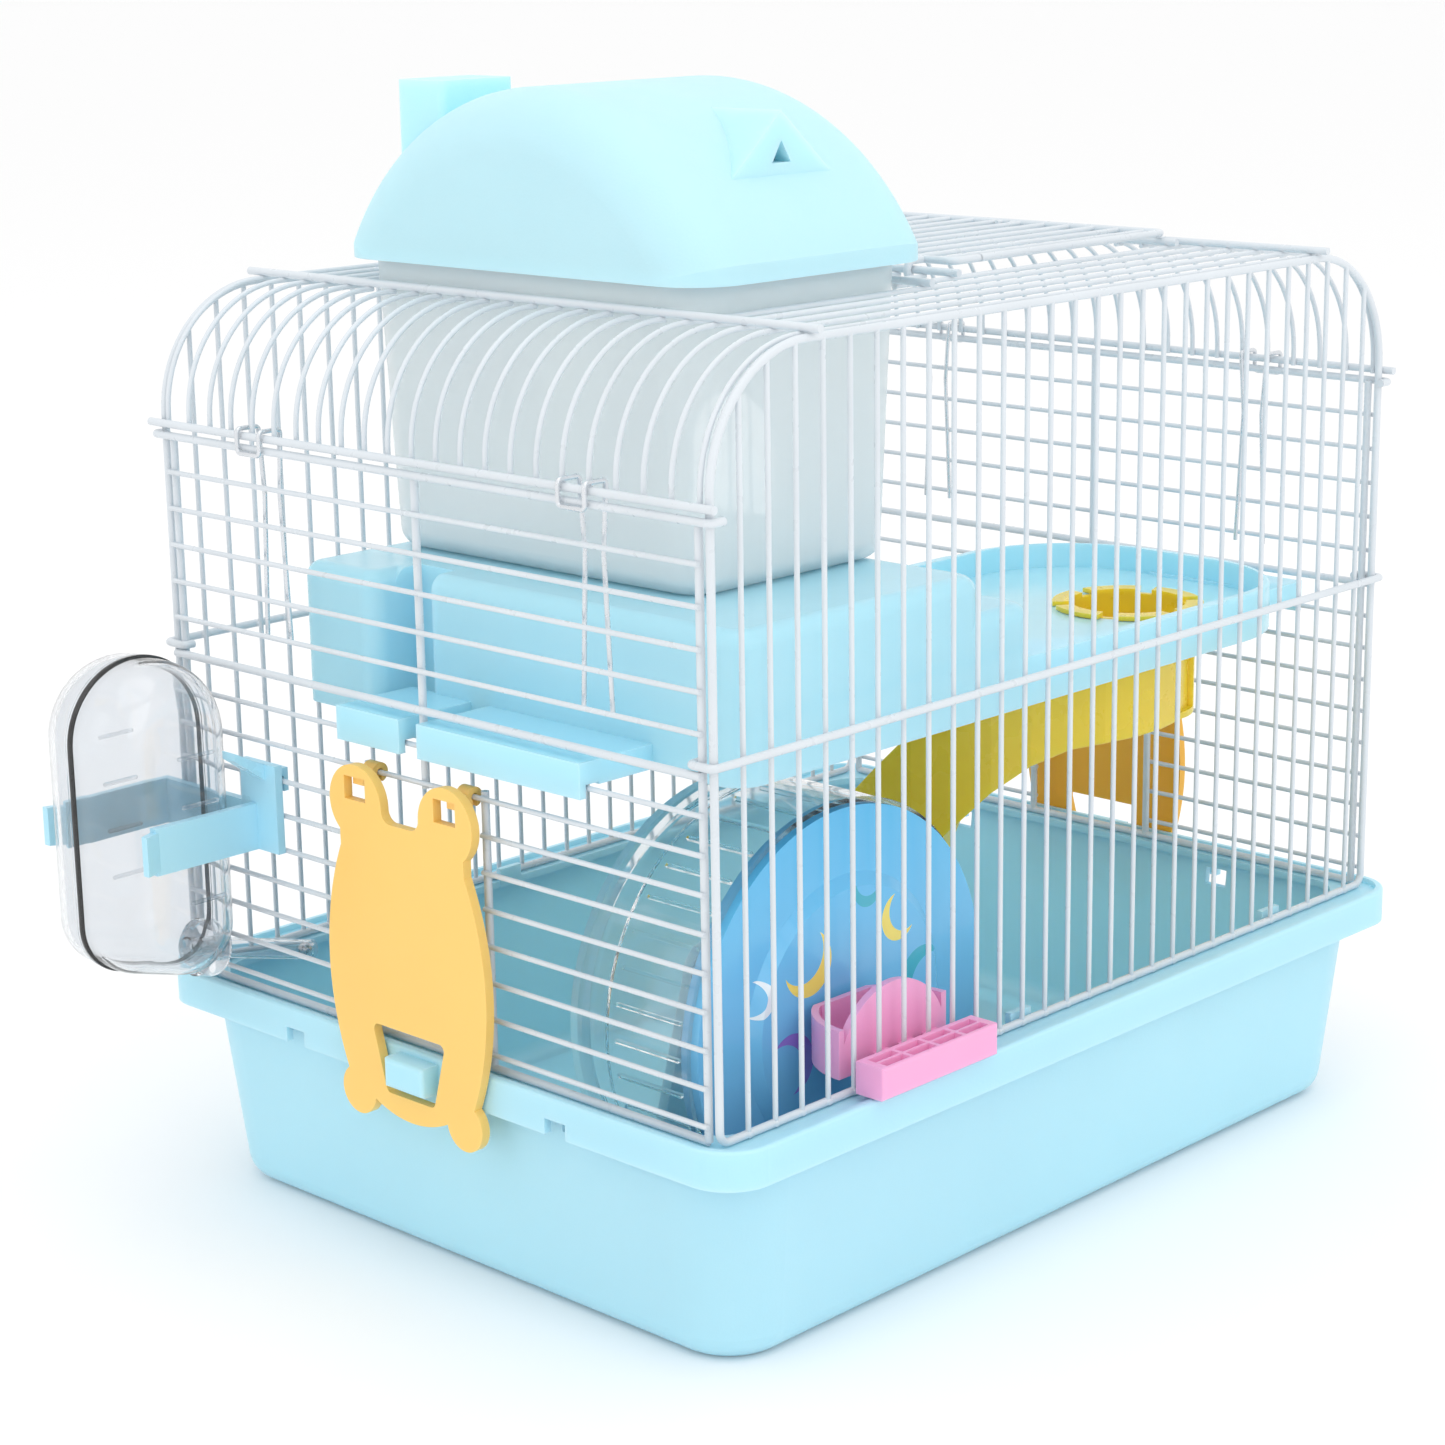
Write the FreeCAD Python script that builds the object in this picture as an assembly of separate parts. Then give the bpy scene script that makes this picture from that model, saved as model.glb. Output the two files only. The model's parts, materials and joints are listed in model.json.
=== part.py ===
import FreeCAD, Part
import math
import os

# Wire hamster cage on a moulded tray, with a second floor, a roof hut, a slide, an exercise
# wheel, a dish, a drinking bottle and a door that hangs on a wire at each end.
# Millimetres. Origin: middle of the tray's underside. +X runs along the cage, from the bottle end
# to the far end. +Z is up. The long side at -Y is the front.

os.makedirs("parts", exist_ok=True)
V = FreeCAD.Vector

# ---------------------------------------------------------------- driving dimensions
cage_length = 261.0        # between the corner posts, along X
cage_width = 190.8         # between the two side panels, along Y
ledge_height = 58.0        # tray underside to the ledge that the wires stand on
side_height = 178.6        # ledge to the top wire of a side panel
roof_bend = 31.0           # radius of the roof wires' bend at both ends

thick_wire = 2.0           # diameter of frame wires
thin_wire = 1.3            # diameter of infill wires
wire_gap = 0.1             # clearance between neighbouring welded panels
weld_bite = 0.15           # how far crossing wires melt into each other
side_wires = 28            # upright infill wires in a side panel
roof_spaces = 22           # spaces between the roof's long wires

tray_wall = 2.0
tray_lip = 1.5             # lip of the rim above the ledge
rim_reach = 6.0            # post to outer face of the rim, along X
rim_reach_side = 9.1       # side panel to outer face of the rim, along Y
skirt_depth = 8.0          # hanging skirt below the ledge
rim_corner = 12.0
wall_inset = 5.0           # skirt's outer face to tray wall's outer face at the top
wall_draft = 6.0           # how far the tray wall leans in on its way down
tray_bottom_round = 7.0
catch_width = 14.0         # block that a door's window snaps over
catch_height = 7.5
catch_reach = 5.5

mid_wire_height = 88.8     # ledge to a side panel's middle wire
end_mid_height = 86.5      # ledge to an end panel's middle wire
end_top_height = 142.8     # ledge to an end panel's top wire
roof_bar_height = 145.8    # ledge to the bar at the foot of the roof's bend
lowest_infill = 5.1        # ledge to the lowest infill wire of an end panel
upper_infill = 5           # infill wires above an end panel's middle wire
lower_infill = 9           # and below it
door_gap_half = 21.0       # half the width of the doorway in an end panel

hut_half_x = 38.5          # hut body, half length at its top
hut_x = hut_half_x - cage_length / 2 + 34.0
hut_half_y = 58.0
hut_draft = 3.0            # how far the hut body leans in on its way down
hut_wall = 1.6
hut_above_roof = 9.0
dome_half_x = hut_half_x + 3.5
dome_half_y = hut_half_y + 6.0
dome_base = side_height + hut_above_roof - 0.9
dome_rise = 38.0           # arch above the lid's upright lip
dome_lip = 4.5
dome_wall = 1.8

floor_front = 9.4 - cage_width / 2
floor_back = 58.0
floor_start = 18.5 - cage_length / 2
floor_end = cage_length / 2 - 8.5
floor_under = 77.5         # ledge to the second floor's lower edge
box_rise = 35.8            # second floor's box above that edge
deck_rise = 12.5           # deck's rim above that edge
deck_back = 10.0           # deck's back edge in Y
box_end = -25.0            # box's far face in X
floor_wall = 1.8
slide_hole = 18.0          # radius of the hole in the deck
slide_hole_x = floor_end - 41.5
slide_hole_y = floor_front + 36.0

wheel_x = -60.0
wheel_radius = 53.0
wheel_height = wheel_radius + 13.0  # tray underside to the axis
wheel_front = 23.4 - cage_width / 2
wheel_depth = 43.0
axle_radius = 3.0
axle_clearance = 0.08

bottle_x = -26.0 - cage_length / 2
bottle_y = cage_width / 2 - 15.4
bottle_base = 66.0         # tray underside to the bottle's lowest point
bottle_deep = 41.0         # along X
bottle_wide = 35.0         # along Y
bottle_tall = 84.0

part_gap = 0.3             # clearance between pieces that move on each other

# ---------------------------------------------------------------- places worked out from them
post_x = cage_length / 2
side_y = cage_width / 2
thick = thick_wire / 2
thin = thin_wire / 2
bottom_wire_z = ledge_height + thick + wire_gap
side_top_z = ledge_height + side_height
roof_z = side_top_z + thin
crossbar_z = roof_z + thin + thick - weld_bite
side_infill_y = side_y + 0.3
side_mid_y = side_infill_y + thin + thick - weld_bite
bar_x = post_x + 2 * thick + wire_gap
upright_x = bar_x - 2 * thick + wire_gap
infill_x = upright_x + thick + thin - weld_bite
roof_drop_x = bar_x - thick - thin + weld_bite
bend_x = roof_drop_x - roof_bend
bend_z = roof_z - roof_bend
bar_z = ledge_height + roof_bar_height
upright_y = side_y - 2 * thick - 12 * wire_gap
end_top_z = ledge_height + end_top_height
end_mid_z = ledge_height + end_mid_height
side_mid_z = ledge_height + mid_wire_height
lower_pitch = (end_mid_height - lowest_infill) / lower_infill
hinge_z = end_mid_z - 2 * lower_pitch
rail_wire_z = end_mid_z - lower_pitch
rim_x = post_x + rim_reach
rim_y = side_y + rim_reach_side
lip_z = ledge_height + tray_lip
skirt_z = ledge_height - skirt_depth
crossbar_x = bend_x - 1.5
bar_half_y = side_y + 3.5


# ---------------------------------------------------------------- shared shapes
def box(x0, x1, y0, y1, z0, z1):
    return Part.makeBox(x1 - x0, y1 - y0, z1 - z0, V(x0, y0, z0))


def rod(start, end, radius):
    start = V(*start)
    run = V(*end) - start
    return Part.makeCylinder(radius, run.Length, start, run)


def fuse(shapes):
    first, rest = shapes[0], shapes[1:]
    if not rest:
        return first
    return first.fuse(rest).removeSplitter()


def bent_wire(points, radius, bend, closed=False):
    """A round wire along straight runs, with every corner bent to one radius."""
    points = [V(*p) for p in points]
    count = len(points)
    corners = range(count) if closed else range(1, count - 1)
    cuts = {}
    for i in corners:
        before = points[i - 1]
        after = points[(i + 1) % count]
        into = (before - points[i]).normalize()
        out = (after - points[i]).normalize()
        half = into.getAngle(out) / 2
        reach = bend / math.tan(half)
        middle = (into + out).normalize() * (bend / math.sin(half) - bend)
        cuts[i] = (points[i] + into * reach, points[i] + middle, points[i] + out * reach)
    edges = []
    runs = count if closed else count - 1
    for i in range(runs):
        j = (i + 1) % count
        start = cuts[i][2] if i in cuts else points[i]
        end = cuts[j][0] if j in cuts else points[j]
        edges.append(Part.LineSegment(start, end).toShape())
        if j in cuts:
            edges.append(Part.Arc(*cuts[j]).toShape())
    path = Part.Wire(edges)
    start = edges[0].Vertexes[0].Point
    along = edges[0].Vertexes[1].Point - start
    ring = Part.Wire([Part.makeCircle(radius, start, along)])
    return path.makePipeShell([ring], True, False)


def rounded_outline(half_x, half_y, corner, z, x=0.0, y=0.0):
    """A rectangle with round corners, as a closed wire at height z."""
    edges = []
    turns = [(1, 1, 0), (-1, 1, 90), (-1, -1, 180), (1, -1, 270)]
    arcs = []
    for sx, sy, angle in turns:
        centre = V(x + sx * (half_x - corner), y + sy * (half_y - corner), z)
        arcs.append(Part.Arc(Part.Circle(centre, V(0, 0, 1), corner),
                             math.radians(angle), math.radians(angle + 90)).toShape())
    for i in range(4):
        edges.append(arcs[i])
        start = arcs[i].Vertexes[-1].Point
        end = arcs[(i + 1) % 4].Vertexes[0].Point
        if (end - start).Length > 1e-6:
            edges.append(Part.LineSegment(start, end).toShape())
    return Part.Wire(edges)


def rounded_block(half_x, half_y, corner, z0, z1, x=0.0, y=0.0):
    face = Part.Face(rounded_outline(half_x, half_y, corner, z0, x, y))
    return face.extrude(V(0, 0, z1 - z0))


def tapered_block(low, high, z0, z1, x=0.0, y=0.0):
    """Round-cornered block between two outlines, each (half_x, half_y, corner)."""
    return Part.makeLoft([rounded_outline(*low, z0, x, y), rounded_outline(*high, z1, x, y)], True, True)


def extruded(points, along):
    points = [V(*p) for p in points]
    return Part.Face(Part.makePolygon(points + [points[0]])).extrude(V(*along))


def rounded_edges(shape, radius, wanted):
    edges = [e for e in shape.Edges if wanted(e)]
    return shape.makeFillet(radius, edges) if edges else shape


def at_height(z):
    return lambda edge: edge.BoundBox.ZMin > z - 0.01 and edge.BoundBox.ZMax < z + 0.01


def both_ends(shape):
    """The same shape at the far end, turned half a turn about the vertical."""
    turned = shape.copy()
    turned.rotate(V(0, 0, 0), V(0, 0, 1), 180)
    return turned


def save(name, shape):
    solids = shape.Solids
    kept = solids[0] if len(solids) == 1 else Part.makeCompound(solids)
    for solid in solids:
        if not solid.isValid() or solid.Volume <= 0:
            raise ValueError(name + " is not a sound solid")
    print("%-22s solids %d volume %.0f" % (name, len(solids), kept.Volume))
    kept.exportStep("parts/" + name + ".step")


# ---------------------------------------------------------------- tray
wall_top = (rim_x - wall_inset, rim_y - wall_inset, 20.0)
wall_low = (wall_top[0] - wall_draft, wall_top[1] - wall_draft, 16.0)
tray_under_ledge = ledge_height - tray_wall
mouth_x = upright_x - thick - 1.5
mouth_y = side_y - thick - 1.8
mouth_corner = 12.0
rim_soft = 0.8
tab_places = (-21.0, 88.0)


def inner(outline, wall):
    return (outline[0] - wall, outline[1] - wall, outline[2] - wall)


def tray():
    shell = tapered_block(wall_low, wall_top, 0, tray_under_ledge)
    shell = rounded_edges(shell, tray_bottom_round, lambda e: e.BoundBox.ZMax < 0.01)
    rim = rounded_edges(rounded_block(rim_x, rim_y, rim_corner, skirt_z, lip_z), rim_soft, at_height(lip_z))
    skirt_hollow = rounded_block(rim_x - tray_wall, rim_y - tray_wall, rim_corner - tray_wall,
                                 skirt_z - 1, tray_under_ledge)
    ledge_hollow = rounded_block(rim_x - tray_wall, rim_y - tray_wall, rim_corner - tray_wall,
                                 ledge_height, lip_z + 1)
    rim = rim.cut(skirt_hollow).cut(ledge_hollow)
    outside = fuse([shell, rim])
    cavity = tapered_block(inner(wall_low, tray_wall), inner(wall_top, tray_wall), tray_wall, tray_under_ledge)
    cavity = rounded_edges(cavity, tray_bottom_round - tray_wall, lambda e: e.BoundBox.ZMax < tray_wall + 0.01)
    ledge = rounded_block(wall_top[0] - 1, wall_top[1] - 1, wall_top[2] - 1, tray_under_ledge, ledge_height)
    mouth = rounded_block(mouth_x, mouth_y, mouth_corner, tray_under_ledge - 0.01, lip_z + 1)
    body = fuse([outside.cut(cavity), ledge]).cut(mouth)
    for end in (-1, 1):
        for side in (-1, 1):
            x0 = min(end * (wall_top[0] - 2 * tray_wall), end * (rim_x + 1))
            x1 = max(end * (wall_top[0] - 2 * tray_wall), end * (rim_x + 1))
            slot_y = side * 0.5 * side_y
            body = body.cut(box(x0, x1, slot_y - 3.5, slot_y + 3.5, skirt_z - 1, skirt_z + 4.0))
        x0 = min(end * (rim_x - tray_wall / 2), end * (rim_x + catch_reach))
        x1 = max(end * (rim_x - tray_wall / 2), end * (rim_x + catch_reach))
        block = box(x0, x1, -catch_width / 2, catch_width / 2, ledge_height - catch_height, ledge_height)
        outer = end * (rim_x + catch_reach)
        block = rounded_edges(block, 1.2, lambda e: abs(e.BoundBox.Center.x - outer) < 0.01)
        body = fuse([body, block])
    tab_y = side_y - thick - part_gap
    for side in (-1, 1):
        for x in tab_places:
            y0, y1 = sorted((side * (mouth_y - 0.2), side * tab_y))
            body = fuse([body, box(x - 4, x + 4, y0, y1, tray_under_ledge, ledge_height + 3.5)])
    return body


# ---------------------------------------------------------------- wire panels
def side_panel(side):
    """Front or back grille: outline wire, upright infill wires and a middle wire with hooked ends."""
    y = side * side_y
    arc_z = side_top_z - roof_bend
    arc_x = post_x - roof_bend
    foot = thick + 2.0

    def corner(x0, z0, x1, z1, radius, centre_x, centre_z):
        out_x = (x0 + x1) / 2 - centre_x
        out_z = (z0 + z1) / 2 - centre_z
        grow = radius / math.hypot(out_x, out_z)
        middle = V(centre_x + out_x * grow, y, centre_z + out_z * grow)
        return Part.Arc(V(x0, y, z0), middle, V(x1, y, z1)).toShape()

    def run(x0, z0, x1, z1):
        return Part.LineSegment(V(x0, y, z0), V(x1, y, z1)).toShape()

    low = bottom_wire_z
    path = Part.Wire([
        run(0, low, post_x - foot, low),
        corner(post_x - foot, low, post_x, low + foot, foot, post_x - foot, low + foot),
        run(post_x, low + foot, post_x, arc_z),
        corner(post_x, arc_z, arc_x, side_top_z, roof_bend, arc_x, arc_z),
        run(arc_x, side_top_z, -arc_x, side_top_z),
        corner(-arc_x, side_top_z, -post_x, arc_z, roof_bend, -arc_x, arc_z),
        run(-post_x, arc_z, -post_x, low + foot),
        corner(-post_x, low + foot, -post_x + foot, low, foot, -post_x + foot, low + foot),
        run(-post_x + foot, low, 0, low),
    ])
    ring = Part.Wire([Part.makeCircle(thick, V(0, y, low), V(1, 0, 0))])
    wires = [path.makePipeShell([ring], True, False)]
    for i in range(1, side_wires + 1):
        x = -post_x + i * cage_length / (side_wires + 1)
        past = max(abs(x) - arc_x, 0)
        top = arc_z + math.sqrt(roof_bend ** 2 - past ** 2)
        wires.append(rod((x, side * side_infill_y, low), (x, side * side_infill_y, top), thin))
    hook_x = bar_x
    hook_y = upright_y - 2 * thick - wire_gap
    wires.append(bent_wire([(-hook_x + 2.8, side * hook_y, side_mid_z), (-hook_x, side * hook_y, side_mid_z),
                            (-hook_x, side * side_mid_y, side_mid_z), (hook_x, side * side_mid_y, side_mid_z),
                            (hook_x, side * hook_y, side_mid_z), (hook_x - 2.8, side * hook_y, side_mid_z)],
                           thick, 1.3))
    return fuse(wires)


def end_panel(end):
    """End grille: two uprights, level infill wires, a middle upright and a doorway."""
    x = -upright_x
    infill = -infill_x
    frame_x = -bar_x
    wrap_y = side_y + 2 * thick + wire_gap
    wires = [
        bent_wire([(frame_x + 4.2, -wrap_y, end_top_z), (frame_x, -wrap_y, end_top_z),
                   (frame_x, wrap_y, end_top_z), (frame_x + 4.2, wrap_y, end_top_z)], thick, 1.3),
        rod((frame_x, -upright_y - 1.4, end_mid_z), (frame_x, upright_y + 1.4, end_mid_z), thick),
        rod((x, -upright_y, bottom_wire_z), (x, upright_y, bottom_wire_z), thick),
    ]
    for side in (-1, 1):
        wires.append(rod((x, side * upright_y, bottom_wire_z), (x, side * upright_y, end_top_z), thick))
        wires.append(rod((x, side * door_gap_half, bottom_wire_z), (x, side * door_gap_half, hinge_z + 1.5), thick))
    wires.append(rod((x, 0, hinge_z - 1.5), (x, 0, end_top_z), thick))
    reach = upright_y + 1.2
    upper_pitch = (end_top_z - end_mid_z) / (upper_infill + 1)
    for i in range(1, upper_infill + 1):
        z = end_mid_z + i * upper_pitch
        wires.append(rod((infill, -reach, z), (infill, reach, z), thin))
    for i in range(1, lower_infill + 1):
        z = end_mid_z - i * lower_pitch
        if z > hinge_z - 1:
            wires.append(rod((infill, -reach, z), (infill, reach, z), thin))
        else:
            wires.append(rod((infill, -reach, z), (infill, -door_gap_half, z), thin))
            wires.append(rod((infill, door_gap_half, z), (infill, reach, z), thin))
    panel = fuse(wires)
    return panel if end < 0 else both_ends(panel)


roof_rows = [(i - roof_spaces / 2) * (bar_half_y * 2 - 11.4) / roof_spaces for i in range(roof_spaces + 1)]
hut_open_x0 = -crossbar_x
hut_open_x1 = hut_x + hut_half_x + 1.0 + thick
hut_open_y = min(y for y in roof_rows if y > hut_half_y + thin + 0.3)
hatch_start = hut_open_x1 + 20.5
hatch_end = crossbar_x - 4.0
hatch_open_y = min(y for y in roof_rows if y > 46.0)
hatch_half_y = hatch_open_y - thin - thick - 0.6


def roof_panel():
    """Flat top grille with one opening for the hut and one for the hatch."""
    wires = []
    inner_edge = 1e-6
    for y in roof_rows:
        if abs(y) < hut_open_y - inner_edge:
            wires.append(rod((-bend_x, y, roof_z), (hut_open_x0 + 0.5, y, roof_z), thin))
            start = hut_open_x1 - 0.5
        else:
            start = -bend_x
        if abs(y) < hatch_open_y - inner_edge:
            wires.append(rod((start, y, roof_z), (hatch_start + 0.5, y, roof_z), thin))
            start = hatch_end - 0.5
        wires.append(rod((start, y, roof_z), (bend_x, y, roof_z), thin))
    for x in (-crossbar_x, crossbar_x):
        wires.append(rod((x, -bar_half_y, crossbar_z), (x, bar_half_y, crossbar_z), thick))
    for x, half in ((hut_open_x1, hut_open_y), (hatch_start, hatch_open_y), (hatch_end, hatch_open_y)):
        wires.append(rod((x, -half - 3, crossbar_z), (x, half + 3, crossbar_z), thick))
    return fuse(wires)


def roof_bend_wires(end):
    """The roof wires' bent-down end with its foot bar, split from the flat grille at the bend."""
    wires = [rod((-bar_x, -bar_half_y, bar_z), (-bar_x, bar_half_y, bar_z), thick)]
    for y in roof_rows:
        arc = Part.Arc(V(-bend_x, y, roof_z),
                       V(-bend_x - roof_bend * math.sqrt(0.5), y, bend_z + roof_bend * math.sqrt(0.5)),
                       V(-roof_drop_x, y, bend_z)).toShape()
        drop = Part.LineSegment(V(-roof_drop_x, y, bend_z), V(-roof_drop_x, y, bar_z - 0.9)).toShape()
        ring = Part.Wire([Part.makeCircle(thin, V(-bend_x, y, roof_z), V(-1, 0, 0))])
        wires.append(Part.Wire([arc, drop]).makePipeShell([ring], True, False))
    panel = fuse(wires)
    return panel if end < 0 else both_ends(panel)


hatch_z = crossbar_z + 2 * thick + part_gap
hatch_loop = thick + part_gap + thick


def roof_hatch():
    """Lift-up hatch: outline wire, long infill wires, two hinge loops and a front latch tongue."""
    x0 = hatch_start + 4.0
    x1 = hatch_end + thick
    half = hatch_half_y
    wires = [bent_wire([(x0 + 10, -half, hatch_z), (x1, -half, hatch_z), (x1, half, hatch_z), (x0, half, hatch_z),
                        (x0, -half, hatch_z), (x0 + 10.5, -half, hatch_z)], thick, 2.2)]
    rows = [y for y in roof_rows if abs(y) < half - 3]
    for y in rows:
        wires.append(rod((x0, y, hatch_z), (x1, y, hatch_z), thin))
    latch_x = hatch_end + thick + 0.5 + thin
    latch_y = roof_rows[-1] / roof_spaces
    latch_half = 2.2
    latch_foot = crossbar_z - thick - 1.2
    tongue = [(x1 - 3, latch_y - latch_half, hatch_z), (latch_x, latch_y - latch_half, hatch_z),
              (latch_x, latch_y - latch_half, latch_foot), (latch_x, latch_y + latch_half, latch_foot),
              (latch_x, latch_y + latch_half, hatch_z), (x1 - 3, latch_y + latch_half, hatch_z)]
    wires.append(bent_wire(tongue, thin, 1.0))
    for side in (-1, 1):
        y = side * 0.8 * half
        loop_arc = Part.Arc(V(hatch_start, y, crossbar_z + hatch_loop),
                            V(hatch_start - hatch_loop, y, crossbar_z),
                            V(hatch_start, y, crossbar_z - hatch_loop)).toShape()
        straight = Part.LineSegment(V(x0, y, crossbar_z + hatch_loop),
                                    V(hatch_start, y, crossbar_z + hatch_loop)).toShape()
        ring = Part.Wire([Part.makeCircle(thick, V(x0, y, crossbar_z + hatch_loop), V(-1, 0, 0))])
        wires.append(Part.Wire([straight, loop_arc]).makePipeShell([ring], True, False))
    return fuse(wires)


# ---------------------------------------------------------------- hairpin spring clips
clip_wire = 1.2
clip_half = 8.5


def spring_clip(end, y):
    """Hairpin clip: holds the roof's foot bar down on the end grille's top wire, legs hanging inside."""
    r = clip_wire / 2
    top = bar_z + thick + part_gap + r
    outside = bar_x + thick + part_gap + r
    inside = upright_x - thick - part_gap - r - 1.0
    below = end_top_z - thick
    waist = end_top_z - 12
    foot = end_mid_z + 8
    half = clip_half / 2
    points = [(-inside, y - 1.1 * half, foot), (-inside, y - 0.7 * half, waist), (-inside, y - half, top),
              (-outside, y - half, top), (-outside, y - half, below), (-outside, y + half, below),
              (-outside, y + half, top), (-inside, y + half, top), (-inside, y + 0.7 * half, waist),
              (-inside, y + 1.1 * half, foot)]
    clip = bent_wire(points, r, 1.1)
    return clip if end < 0 else both_ends(clip)


# ---------------------------------------------------------------- hut
body_foot = ledge_height + floor_under + box_rise
body_top = side_top_z + hut_above_roof
dome_z = ledge_height + dome_base


def hut_body():
    """Frosted open-topped box that stands on the second floor and reaches up through the roof."""
    low = (hut_half_x - hut_draft, hut_half_y - hut_draft, 10.0)
    high = (hut_half_x, hut_half_y, 12.0)
    base = body_foot + 0.2
    outside = tapered_block(low, high, base, body_top, hut_x)
    outside = rounded_edges(outside, 5.0, lambda e: e.BoundBox.ZMax < base + 0.01)
    inside = tapered_block(inner(low, hut_wall), inner(high, hut_wall), base + hut_wall, body_top + 0.01, hut_x)
    inside = rounded_edges(inside, 5.0 - hut_wall, lambda e: e.BoundBox.ZMax < base + hut_wall + 0.01)
    shell = outside.cut(inside)
    door_z = base + 5.0
    way = box(hut_x + hut_half_x - 8, hut_x + hut_half_x + 2, -15, 15, door_z, door_z + 16)
    arch = Part.makeCylinder(15, 10, V(hut_x + hut_half_x - 8, 0, door_z + 16), V(1, 0, 0))
    return shell.cut(way).cut(arch)


def vault(half_x, half_y, rise, lip, z):
    """Barrel vault on a short upright lip, closed solid, arch across Y."""
    y_edge = half_y
    points = [V(-half_x, -y_edge, z), V(-half_x, -y_edge, z + lip), V(-half_x, 0, z + lip + rise),
              V(-half_x, y_edge, z + lip), V(-half_x, y_edge, z)]
    edges = [Part.LineSegment(points[0], points[1]).toShape(),
             Part.Arc(points[1], points[2], points[3]).toShape(),
             Part.LineSegment(points[3], points[4]).toShape(),
             Part.LineSegment(points[4], points[0]).toShape()]
    solid = Part.Face(Part.Wire(edges)).extrude(V(2 * half_x, 0, 0))
    solid.translate(V(hut_x, 0, 0))
    return solid


dome_round = 14.0
chimney_x = hut_x - 17.0
chimney_y = 43.5
chimney_half_x = 12.0
chimney_half_y = 8.5
dormer_half = 17.5
dormer_rise = 15.3
dormer_drop = 20.8
dormer_front = -50.5


def soft_vault(half_x, half_y, lip, z, radius):
    """Vault with both of its ends' arched and upright edges rounded."""
    solid = vault(half_x, half_y, dome_rise, lip, z)
    return rounded_edges(solid, radius, lambda e: abs(abs(e.BoundBox.Center.x - hut_x) - half_x) < 0.01
                         and e.BoundBox.ZMax > z + 0.01)


def hut_lid():
    """Vaulted roof lid with a dormer at the front and a square chimney at the back."""
    outside = soft_vault(dome_half_x, dome_half_y, dome_lip, dome_z, dome_round)
    apex = dome_z + dome_lip + dome_rise
    chimney = rounded_block(chimney_half_x, chimney_half_y, 2.0, dome_z + dome_lip + 8, apex + 0.5,
                            chimney_x, chimney_y)
    base = apex - dormer_drop
    gable = extruded([(hut_x - dormer_half, dormer_front, base), (hut_x + dormer_half, dormer_front, base),
                      (hut_x, dormer_front, base + dormer_rise)], (0, 30, 0))
    lid = fuse([outside, chimney, gable])
    inside_round = dome_round - dome_wall
    inside = soft_vault(dome_half_x - dome_wall, dome_half_y - dome_wall, dome_lip - dome_wall + 1, dome_z - 1,
                        inside_round)
    lid = lid.cut(inside)
    seat = body_top + 0.2
    seat_hole = (hut_half_x - hut_wall - 4, hut_half_y - hut_wall - 4, 8.0)
    ring_top = seat + 1.4
    ring = rounded_block(dome_half_x - dome_wall + 0.2, dome_half_y - dome_wall + 0.2, inside_round + 0.2,
                         seat, ring_top, hut_x)
    plug = rounded_block(hut_half_x - hut_wall - 0.5, hut_half_y - hut_wall - 0.5, 10.0,
                         seat - 4.0, ring_top, hut_x)
    hole = rounded_block(*seat_hole, seat - 5, seat + 2, hut_x)
    lid = fuse([lid, fuse([ring, plug]).cut(hole)])
    peep = 3.2
    sill = base + 3.3
    window = extruded([(hut_x - peep, dormer_front - 1, sill), (hut_x + peep, dormer_front - 1, sill),
                       (hut_x, dormer_front - 1, sill + 1.6 * peep)], (0, 20, 0))
    return lid.cut(window)


# ---------------------------------------------------------------- second floor
under_z = ledge_height + floor_under
box_top = under_z + box_rise
deck_top = under_z + deck_rise
basin_z = deck_top - 7.0
step_top = under_z + 0.72 * box_rise
step_end = box_end + 20.0
block_start = floor_start - 8.0
block_front = 30.0
recess_front = 17.0
recess_x = floor_start + 8.0
deck_corner = 38.0
floor_soft = 4.0
deck_soft = 1.2


def rounded_room(x0, x1, y0, y1, z0, z1, corner):
    return rounded_block((x1 - x0) / 2, (y1 - y0) / 2, corner, z0, z1, (x0 + x1) / 2, (y0 + y1) / 2)


def floor_shape(shrink, top_drop):
    """Outer form of the second floor, or with shrink and top_drop the space under it."""
    s, d = shrink, top_drop
    z0 = under_z - (1.0 if shrink else 0.0)
    main = rounded_room(floor_start + s, box_end - s, floor_front + s, floor_back - s, z0, box_top - d, 7 - s)
    soft = floor_soft - s
    main = rounded_edges(main, soft, at_height(box_top - d))
    main = main.cut(box(block_start - 1, recess_x + s, recess_front - s, block_front + s, z0 - 1, box_top + 1))
    block = rounded_room(block_start + s, recess_x + 4, block_front + s, floor_back - s, z0, box_top - d, 5 - s)
    block = rounded_edges(block, soft, at_height(box_top - d))
    step = rounded_room(box_end - 20 + s, step_end - s, floor_front + s, deck_back - s, z0, step_top - d, 7 - s)
    step = rounded_edges(step, soft, at_height(step_top - d))
    deck = rounded_room(step_end - 20 + s, floor_end - s, floor_front + s, deck_back - s, z0,
                        (basin_z if shrink else deck_top) - d, deck_corner - s)
    if not shrink:
        deck = rounded_edges(deck, deck_soft, at_height(deck_top - d))
    bridge = rounded_room(step_end - 20 + s, slide_hole_x, floor_front + s, deck_back - s, z0,
                          (basin_z if shrink else deck_top) - d, 7 - s)
    return fuse([main, block, step, deck, bridge])


rail_out = infill_x + thin + 2.4
rail_foot = rail_wire_z - 2.1
rail_top = rail_wire_z + 6.4


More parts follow.
